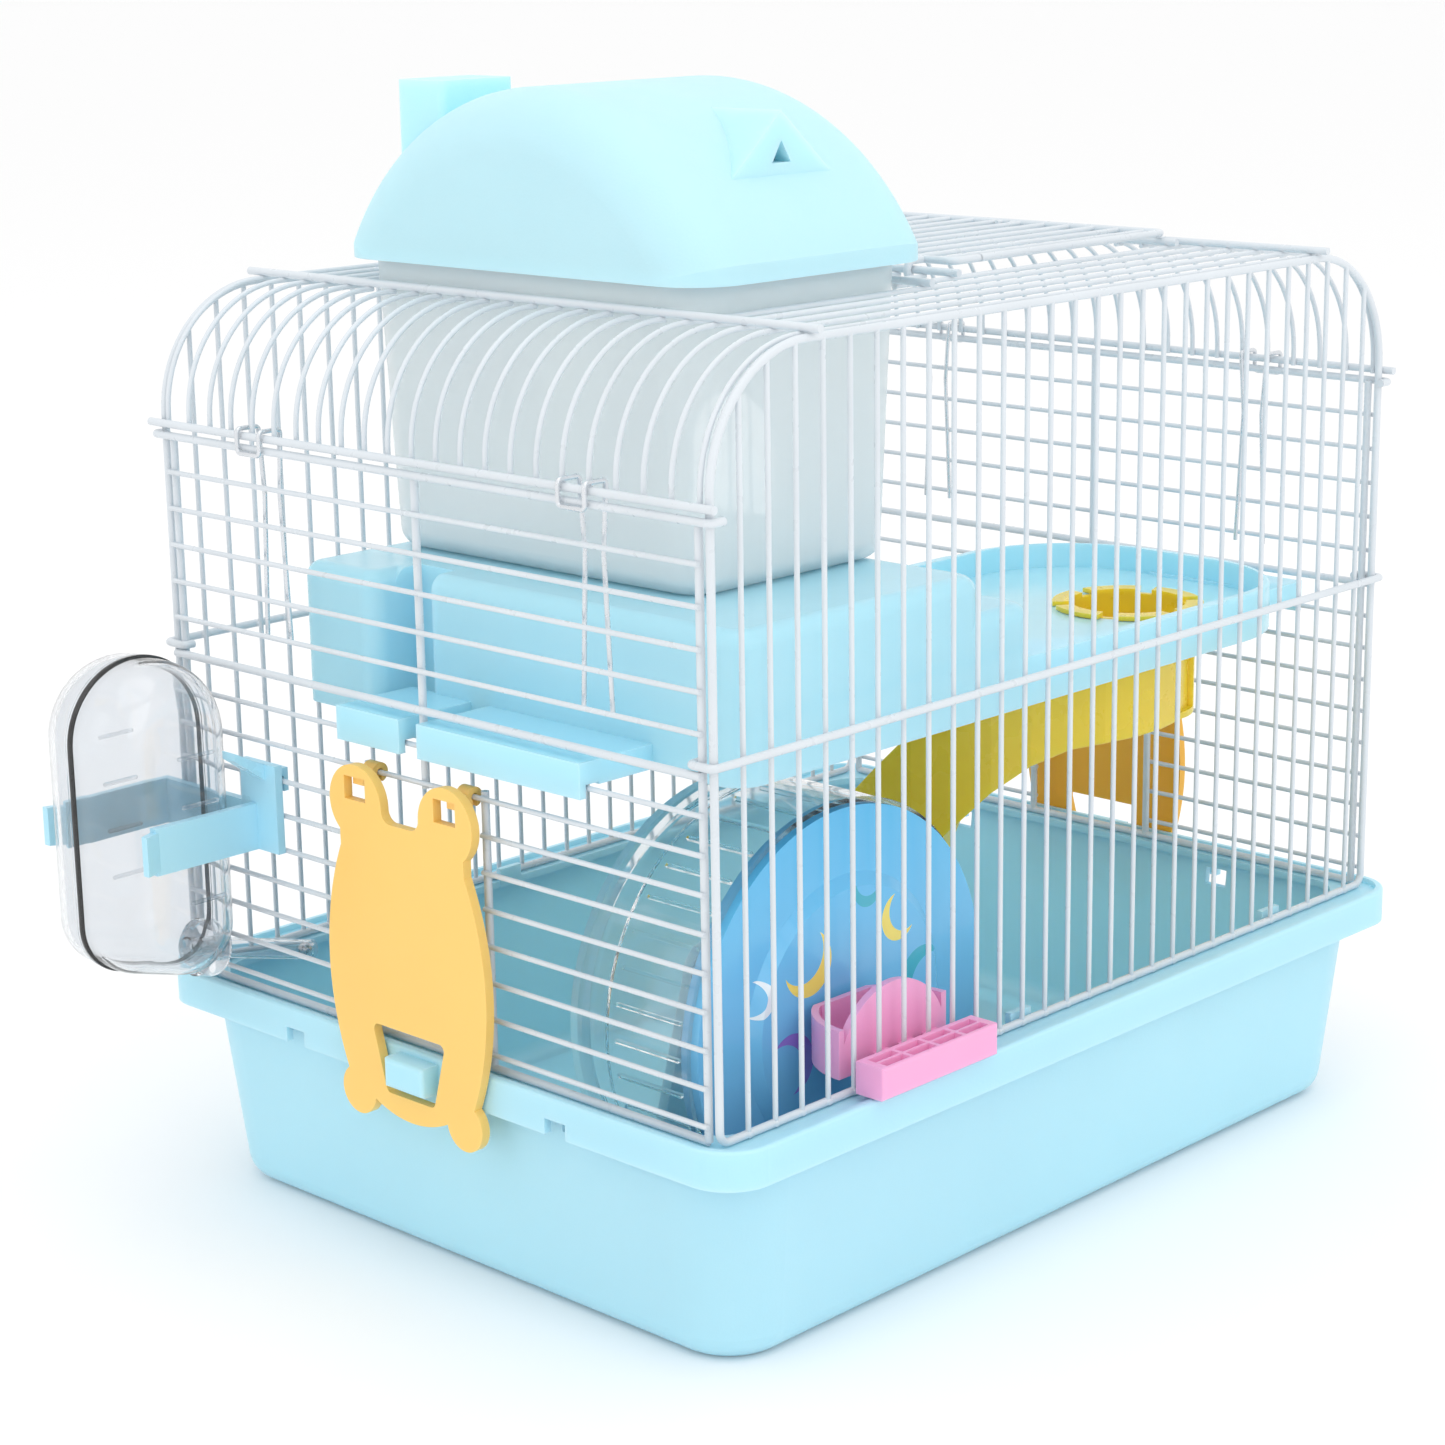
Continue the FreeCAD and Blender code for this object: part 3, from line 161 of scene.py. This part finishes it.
def bead_rows_tree():
    tree = bpy.data.node_groups.new("bead_row", "GeometryNodeTree")
    tree.interface.new_socket(name="Geometry", in_out="OUTPUT", socket_type="NodeSocketGeometry")
    inputs = {
        "Start": add_socket(tree, "Start", "NodeSocketVector", (0.0, 0.0, 0.0)),
        "Step": add_socket(tree, "Step", "NodeSocketVector", (0.009, 0.0, 0.0)),
        "Count": add_socket(tree, "Count", "NodeSocketInt", 1),
        "Radius": add_socket(tree, "Radius", "NodeSocketFloat", 0.0011),
        "Squash": add_socket(tree, "Squash", "NodeSocketVector", (1.0, 0.6, 1.0)),
        "Coat": add_socket(tree, "Coat", "NodeSocketMaterial", None),
    }
    group_in = tree.nodes.new("NodeGroupInput")
    group_out = tree.nodes.new("NodeGroupOutput")
    line = tree.nodes.new("GeometryNodeMeshLine")
    line.mode = "OFFSET"
    bead = tree.nodes.new("GeometryNodeMeshIcoSphere")
    bead.inputs["Subdivisions"].default_value = 2
    instance = tree.nodes.new("GeometryNodeInstanceOnPoints")
    realize = tree.nodes.new("GeometryNodeRealizeInstances")
    coat = tree.nodes.new("GeometryNodeSetMaterial")
    link = tree.links.new
    link(group_in.outputs["Count"], line.inputs["Count"])
    link(group_in.outputs["Start"], line.inputs["Start Location"])
    link(group_in.outputs["Step"], line.inputs["Offset"])
    link(group_in.outputs["Radius"], bead.inputs["Radius"])
    link(line.outputs["Mesh"], instance.inputs["Points"])
    link(bead.outputs["Mesh"], instance.inputs["Instance"])
    link(group_in.outputs["Squash"], instance.inputs["Scale"])
    link(instance.outputs["Instances"], realize.inputs["Geometry"])
    link(realize.outputs["Geometry"], coat.inputs["Geometry"])
    link(group_in.outputs["Coat"], coat.inputs["Material"])
    link(coat.outputs["Geometry"], group_out.inputs["Geometry"])
    return tree, inputs


bead_tree, bead_inputs = bead_rows_tree()


def plain_mesh(name, carrier):
    """The carrier's modifier result as a plain mesh object, the carrier itself removed."""
    graph = bpy.context.evaluated_depsgraph_get()
    mesh = bpy.data.meshes.new_from_object(carrier.evaluated_get(graph))
    bpy.data.objects.remove(carrier)
    piece = bpy.data.objects.new(name, mesh)
    bpy.context.collection.objects.link(piece)
    return piece


def bead_row(name, start, step, count, squash):
    carrier = bpy.data.objects.new(name + "_row", bpy.data.meshes.new(name + "_row"))
    bpy.context.collection.objects.link(carrier)
    modifier = carrier.modifiers.new("beads", "NODES")
    modifier.node_group = bead_tree
    modifier[bead_inputs["Start"]] = start
    modifier[bead_inputs["Step"]] = step
    modifier[bead_inputs["Count"]] = count
    modifier[bead_inputs["Squash"]] = squash
    modifier[bead_inputs["Coat"]] = wire_coat
    piece = plain_mesh(name, carrier)
    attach(piece, "cage")
    return piece


side_uprights = 28
thick_wire = 0.001
for panel, side in (("side_panel_front", -1), ("side_panel_back", 1)):
    low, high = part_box(panel)
    post_half = 0.1305
    pitch = 2 * post_half / (side_uprights + 1)
    upright_y = side * 0.0961
    for row, height in (("foot", low[2] + thick_wire), ("middle", 0.1468)):
        start = (-post_half + pitch, upright_y, height)
        bead_row(panel + "_weld_" + row, start, (pitch, 0.0, 0.0), side_uprights, (1.0, 0.55, 0.8))

# ---------------------------------------------------------------- spring clips
# Four hairpins of bright spring steel hold the roof's bent ends down on the end grilles.
# They are bent from one length of wire each, and can be unhooked to lift the roof off.
clip_steel, clip_tree, clip_shader = new_material("bright_spring_steel")
clip_place = object_place(clip_tree)
clip_cloud = noise(clip_tree, clip_place, 120.0)
clip_colour = mix_colour(clip_tree, clip_cloud, (0.62, 0.65, 0.68, 1.0), (0.78, 0.80, 0.83, 1.0))
clip_tree.links.new(clip_colour, clip_shader.inputs["Base Color"])
clip_gloss = remap(clip_tree, noise(clip_tree, clip_place, 700.0), 0.22, 0.36)
clip_tree.links.new(clip_gloss, clip_shader.inputs["Roughness"])
clip_shader.inputs["Metallic"].default_value = 0.8
paint("spring_clips", clip_steel)


# ---------------------------------------------------------------- hut body
# A frosted polypropylene box, open at the top, that stands on the second floor and reaches up
# through the roof. Its thin walls let part of the light through.
frosted = moulded_plastic("frosted_polypropylene", (0.88, 0.965, 1.0), 0.34, 0.03, 0.3)
frosted.node_tree.nodes["Principled BSDF"].inputs["Alpha"].default_value = 0.64
paint("hut_body", frosted)

# ---------------------------------------------------------------- hut lid
# The vaulted lid is a thin pale-blue moulding with a dormer, a chimney and a seat ring inside.
# Its surface is matt, from a blasted mould.
lid_plastic = moulded_plastic("pale_blue_matt_plastic", (0.50, 0.84, 0.96), 0.5, 0.09, 0.4)
paint("hut_lid", lid_plastic)

# ---------------------------------------------------------------- second floor
# The second floor is one glossy sky-blue moulding, hollow from below: box, step and round-ended
# deck, with rails at both ends that hook over the end grilles' wires.
gloss_blue = moulded_plastic("glossy_sky_blue_plastic", (0.43, 0.79, 0.955), 0.2, 0.02, 0.4)
paint("second_floor", gloss_blue)

# ---------------------------------------------------------------- slide
# The spiral slide is a warm yellow moulding that hangs in the deck's hole by its flanged ring.
slide_yellow = moulded_plastic("warm_yellow_plastic", (1.0, 0.64, 0.045), 0.28, 0.03, 0.5)
paint("slide", slide_yellow)

# ---------------------------------------------------------------- running wheel
# A glossy blue disc, printed on its face with a few plain crescents, carries a clear ribbed drum.
# The pair turns on a steel pin pressed into a stand on the tray's floor.
wheel_low, wheel_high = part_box("wheel_disc")
wheel_middle = joints["wheel_spin"]["pos_m"]
disc_radius = (wheel_high[0] - wheel_low[0]) / 2


def arithmetic(tree, operation, first, second):
    node = tree.nodes.new("ShaderNodeMath")
    node.operation = operation
    for socket, value in zip(node.inputs, (first, second)):
        if isinstance(value, float):
            socket.default_value = value
        else:
            tree.links.new(value, socket)
    return node.outputs[0]


def distance_from(tree, place, centre):
    """Distance in the wheel's plane from a point given as shares of the disc's radius."""
    mapping = tree.nodes.new("ShaderNodeMapping")
    x = wheel_middle[0] + centre[0] * disc_radius
    z = wheel_middle[2] + centre[1] * disc_radius
    mapping.inputs["Location"].default_value = (-x, 0.0, -z)
    tree.links.new(place, mapping.inputs["Vector"])
    flat = tree.nodes.new("ShaderNodeVectorMath")
    flat.operation = "MULTIPLY"
    flat.inputs[1].default_value = (1.0, 0.0, 1.0)
    tree.links.new(mapping.outputs[0], flat.inputs[0])
    length = tree.nodes.new("ShaderNodeVectorMath")
    length.operation = "LENGTH"
    tree.links.new(flat.outputs[0], length.inputs[0])
    return arithmetic(tree, "DIVIDE", length.outputs["Value"], disc_radius)


def crescent(tree, place, centre, size, turn):
    """A moon shape: inside one circle and outside a second, shifted along the turn."""
    bite = (centre[0] + 0.45 * size * math.cos(turn), centre[1] + 0.45 * size * math.sin(turn))
    inside = arithmetic(tree, "LESS_THAN", distance_from(tree, place, centre), size)
    outside = arithmetic(tree, "GREATER_THAN", distance_from(tree, place, bite), 0.92 * size)
    return arithmetic(tree, "MULTIPLY", inside, outside)


print_blue, print_tree, print_shader = new_material("printed_blue_plastic")
print_place = object_place(print_tree)
rise = print_tree.nodes.new("ShaderNodeSeparateXYZ")
print_tree.links.new(print_place, rise.inputs[0])
height = print_tree.nodes.new("ShaderNodeMapRange")
height.inputs["From Min"].default_value = wheel_low[2]
height.inputs["From Max"].default_value = wheel_high[2]
print_tree.links.new(rise.outputs["Z"], height.inputs["Value"])
ink = mix_colour(print_tree, height.outputs["Result"], (0.30, 0.62, 0.90, 1.0), (0.11, 0.55, 0.90, 1.0))
crescents = (
    ((-0.30, 0.32), 0.16, 2.2, (0.97, 0.80, 0.16, 1.0)),
    ((0.34, 0.40), 0.12, 0.6, (0.97, 0.80, 0.16, 1.0)),
    ((-0.42, -0.14), 0.15, 3.6, (0.33, 0.22, 0.72, 1.0)),
    ((0.52, 0.04), 0.17, -0.5, (0.06, 0.48, 0.62, 1.0)),
    ((0.10, -0.50), 0.15, 4.4, (0.97, 0.80, 0.16, 1.0)),
    ((0.12, 0.60), 0.10, 1.4, (0.06, 0.48, 0.62, 1.0)),
    ((-0.62, 0.22), 0.09, 2.9, (0.88, 0.95, 0.98, 1.0)),
)
for centre, size, turn, colour in crescents:
    ink = mix_colour(print_tree, crescent(print_tree, print_place, centre, size, turn), ink, colour)
print_tree.links.new(ink, print_shader.inputs["Base Color"])
print_gloss = remap(print_tree, noise(print_tree, print_place, 90.0), 0.16, 0.24)
print_tree.links.new(print_gloss, print_shader.inputs["Roughness"])
bump(print_tree, print_shader, noise(print_tree, print_place, 900.0), 0.02, 0.0003)
print_shader.inputs["Coat Weight"].default_value = 0.3
paint("wheel_disc", print_blue)
paint("wheel_cap", print_blue)


def clear_coat(material):
    shader = material.node_tree.nodes["Principled BSDF"]
    shader.inputs["Coat Weight"].default_value = 0.8
    shader.inputs["Coat Roughness"].default_value = 0.03
    return material


def clear_moulding(name, colour, roughness, passes, ripple, ior=1.49):
    material, tree, shader = new_material(name)
    place = object_place(tree)
    tint = mix_colour(tree, noise(tree, place, 25.0), shade(colour, 0.97), shade(colour, 1.02))
    tree.links.new(tint, shader.inputs["Base Color"])
    gloss = remap(tree, noise(tree, place, 120.0), roughness * 0.85, roughness * 1.15)
    tree.links.new(gloss, shader.inputs["Roughness"])
    bump(tree, shader, noise(tree, place, 160.0), ripple, 0.0006)
    shader.inputs["Transmission Weight"].default_value = passes
    shader.inputs["IOR"].default_value = ior
    return material


clear_plastic = clear_moulding("clear_polystyrene", (0.97, 0.99, 1.0), 0.06, 0.96, 0.02, 1.12)
clear_coat(clear_plastic)
paint("wheel_drum", clear_plastic)
paint("wheel_stand", sky_blue)

pin_steel, pin_tree, pin_shader = new_material("ground_steel")
pin_place = object_place(pin_tree)
pin_cloud = noise(pin_tree, pin_place, 400.0)
pin_colour = mix_colour(pin_tree, pin_cloud, (0.52, 0.53, 0.55, 1.0), (0.66, 0.67, 0.69, 1.0))
pin_tree.links.new(pin_colour, pin_shader.inputs["Base Color"])
pin_gloss = remap(pin_tree, noise(pin_tree, pin_place, 1500.0), 0.2, 0.34)
pin_tree.links.new(pin_gloss, pin_shader.inputs["Roughness"])
pin_shader.inputs["Metallic"].default_value = 1.0
paint("wheel_axle", pin_steel)
paint("nozzle_ball", pin_steel)

# ---------------------------------------------------------------- food dish
# The pink dish is one moulding: a bar with eight pockets outside the grille, three tongues that
# pass between the wires, and a half-round bowl inside.
dish_pink = moulded_plastic("pink_plastic", (0.93, 0.40, 0.66), 0.34, 0.05, 0.15)
paint("food_dish", dish_pink)

# ---------------------------------------------------------------- drinking bottle
# Two clear moulded halves welded along the middle, a push-in cap and a clear drinking tube with
# a steel ball in its tip. Two sprung arms on the holder grip it.
bottle_clear = clear_moulding("clear_bottle_plastic", (0.90, 0.915, 0.935), 0.05, 0.96, 0.03, 1.14)
clear_coat(bottle_clear)
for node in ("bottle_half_front", "bottle_half_back", "bottle_cap", "bottle_nozzle"):
    paint(node, bottle_clear)


def ring_skin(mesh, rings, closed_ends):
    """Quads between rings of equal length, and a fan over each end named."""
    rows = [[mesh.verts.new(point) for point in ring] for ring in rings]
    count = len(rows[0])
    for first, second in zip(rows, rows[1:]):
        for i in range(count):
            j = (i + 1) % count
            mesh.faces.new((first[i], first[j], second[j], second[i]))
    for end in closed_ends:
        row = rows[end]
        middle_vert = mesh.verts.new(sum((v.co for v in row), Vector()) / count)
        for i in range(count):
            mesh.faces.new((row[i], row[(i + 1) % count], middle_vert))


def finished(name, mesh, material, smooth_angle=40.0):
    """A bmesh as a plain object: doubles merged, faces outward, soft shading between sharp edges."""
    bmesh.ops.remove_doubles(mesh, verts=mesh.verts, dist=1e-6)
    bmesh.ops.recalc_face_normals(mesh, faces=mesh.faces)
    limit = math.radians(smooth_angle)
    for face in mesh.faces:
        face.smooth = True
    for edge in mesh.edges:
        if len(edge.link_faces) == 2 and edge.calc_face_angle(0.0) > limit:
            edge.smooth = False
    data = bpy.data.meshes.new(name)
    mesh.to_mesh(data)
    mesh.free()
    data.materials.append(material)
    piece = bpy.data.objects.new(name, data)
    bpy.context.collection.objects.link(piece)
    return piece


half_low, half_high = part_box("bottle_half_front")
other_low, other_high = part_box("bottle_half_back")
seam_y = (half_high[1] + other_low[1]) / 2
bottle_left = half_low[0]
bottle_right = half_high[0]
bottle_foot = half_low[2]
bottle_crown = half_high[2]
edge_round = 0.012
core_round = 0.014
shell_wall = 0.0016
seam_ridge = 0.0005
foot_slope = math.radians(16.0)
dome_radius = (bottle_right - bottle_left) / 2


def bottle_outline(y, inset):
    """The bottle's outline in XZ, drawn in by an inset: domed top, sloping foot."""
    inner = core_round - inset
    top = (bottle_left + dome_radius, bottle_crown - dome_radius)
    reach = dome_radius - core_round
    right = (bottle_right - core_round, bottle_foot + core_round)
    rise_left = (right[0] - bottle_left - core_round) * math.tan(foot_slope)
    left = (bottle_left + core_round, right[1] + rise_left)
    points = []
    for i in range(37):
        a = math.radians(5.0 * i)
        points.append((top[0] + (reach + inner) * math.cos(a), top[1] + (reach + inner) * math.sin(a)))
    foot_angle = 1.5 * math.pi - foot_slope
    turn_steps = 16
    for corner, begin, end in ((left, math.pi, foot_angle), (right, foot_angle, 2 * math.pi)):
        for i in range(turn_steps + 1):
            a = begin + (end - begin) * i / turn_steps
            points.append((corner[0] + inner * math.cos(a), corner[1] + inner * math.sin(a)))
    return [(x, y, z) for x, z in points]


def bottle_half(name, side, depth):
    """One moulded half: a rim ridge at the seam, a straight wall, and a rounded outer face."""
    outer = [(0.0, 0.0), (0.0008, 0.0), (0.0011, seam_ridge)]
    steps = 14
    for i in range(steps + 1):
        a = 0.5 * math.pi * i / steps
        across = depth - edge_round + edge_round * math.sin(a)
        outer.append((across, seam_ridge + edge_round * (1 - math.cos(a))))
    inner = [(0.0, seam_ridge + shell_wall)]
    bend = edge_round - shell_wall
    for i in range(steps + 1):
        a = 0.5 * math.pi * i / steps
        across = depth - edge_round + bend * math.sin(a)
        inner.append((across, seam_ridge + shell_wall + bend * (1 - math.cos(a))))
    rings = [bottle_outline(seam_y + side * y, inset) for y, inset in reversed(inner)]
    rings += [bottle_outline(seam_y + side * y, inset) for y, inset in outer]
    mesh = bmesh.new()
    ring_skin(mesh, rings, (0, -1))
    bar_length = 0.011
    bar_half = 0.00045
    bar_thick = 0.0011
    for mark in range(4):
        z = bottle_crown - 0.024 - 0.0125 * mark
        centre_x = bottle_left + 0.026 + 0.0006 * mark
        face_y = seam_y + side * (depth - 0.0002)
        bar_size = Matrix.Diagonal((bar_length, bar_thick, 2 * bar_half, 1.0))
        place = Matrix.Translation((centre_x, face_y, z)) @ bar_size
        made = bmesh.ops.create_cube(mesh, size=1.0, matrix=place)
        bar_edges = list({edge for vert in made["verts"] for edge in vert.link_edges})
        bmesh.ops.bevel(mesh, geom=bar_edges, offset=0.0002, segments=2, affect="EDGES")
    piece = finished(name, mesh, bottle_clear)
    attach(piece, "bottle")
    return piece


front_shell = bottle_half("bottle_shell_front", -1, seam_y - half_low[1] - seam_ridge)
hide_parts("bottle_half_front")
back_shell = bottle_half("bottle_shell_back", 1, other_high[1] - seam_y - seam_ridge)
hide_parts("bottle_half_back")

holder_blue = moulded_plastic("holder_blue_plastic", (0.42, 0.76, 0.93), 0.3, 0.04, 0.15)
paint("bottle_holder", holder_blue)

# ---------------------------------------------------------------- doors
# Each door is a flat plate moulding with two round lobes, hung from a wire by two open hooks, and
# a window that snaps over the tray's catch block. The near door is pale orange; the far door's deeper
# orange is painted shade.
near_orange = moulded_plastic("pale_orange_plastic", (0.98, 0.60, 0.16), 0.36, 0.06, 0.12)
# The far door's deeper orange is painted shade: the pale door colour darkened where the door is seen
# through shadow.
far_door_shaded_orange = moulded_plastic("orange_plastic_painted_shade", (0.98, 0.47, 0.04), 0.36, 0.06, 0.12)
paint("near_door", near_orange)
paint("far_door", far_door_shaded_orange)

# ---------------------------------------------------------------- floor, light and camera
# A plain white floor, a broad soft light from above and two side lights, in a bright white room.
# The camera looks slightly down on the near front corner.
floor_mesh = bpy.data.meshes.new("floor")
span = 40.0
floor_corners = [(-span, -span, 0), (span, -span, 0), (span, span, 0), (-span, span, 0)]
floor_mesh.from_pydata(floor_corners, [], [(0, 1, 2, 3)])
floor = bpy.data.objects.new("floor", floor_mesh)
bpy.context.collection.objects.link(floor)
floor_white, _, floor_shader = new_material("floor_white")
floor_shader.inputs["Base Color"].default_value = (0.96, 0.96, 0.96, 1.0)
floor_shader.inputs["Roughness"].default_value = 0.9
floor_mesh.materials.append(floor_white)

world = bpy.data.worlds.new("soft_room")
world.use_nodes = True
world.node_tree.nodes["Background"].inputs["Color"].default_value = (1.0, 1.0, 1.0, 1.0)
world.node_tree.nodes["Background"].inputs["Strength"].default_value = 1.02
bpy.context.scene.world = world


def soft_light(name, place, target, size, power):
    light = bpy.data.lights.new(name, "AREA")
    light.shape = "SQUARE"
    light.size = size
    light.energy = power
    lamp = bpy.data.objects.new(name, light)
    lamp.location = place
    lamp.rotation_euler = (Vector(target) - Vector(place)).to_track_quat("-Z", "Y").to_euler()
    bpy.context.collection.objects.link(lamp)


middle = (0.0, 0.0, 0.14)
soft_light("top_light", (-0.2, -0.3, 1.5), middle, 1.4, 4.0)
soft_light("front_light", (-0.3, -1.5, 0.7), middle, 1.0, 2.4)
soft_light("end_light", (-1.4, 0.2, 0.6), middle, 0.9, 1.0)

camera_data = bpy.data.cameras.new("camera")
camera_data.sensor_width = 36.0
camera_data.lens = 78.4
camera = bpy.data.objects.new("camera", camera_data)
bpy.context.collection.objects.link(camera)
azimuth = math.radians(46.15)
elevation = math.radians(14.33)
roll = math.radians(-0.9)
level = math.cos(elevation)
sight = Vector((math.sin(azimuth) * level, math.cos(azimuth) * level, -math.sin(elevation)))
turn = sight.to_track_quat("-Z", "Y").to_matrix().to_4x4() @ Matrix.Rotation(roll, 4, "Z")
camera.matrix_world = Matrix.Translation((-0.6040, -0.5531, 0.3249)) @ turn
bpy.context.scene.camera = camera
bpy.context.scene.view_settings.view_transform = "Standard"
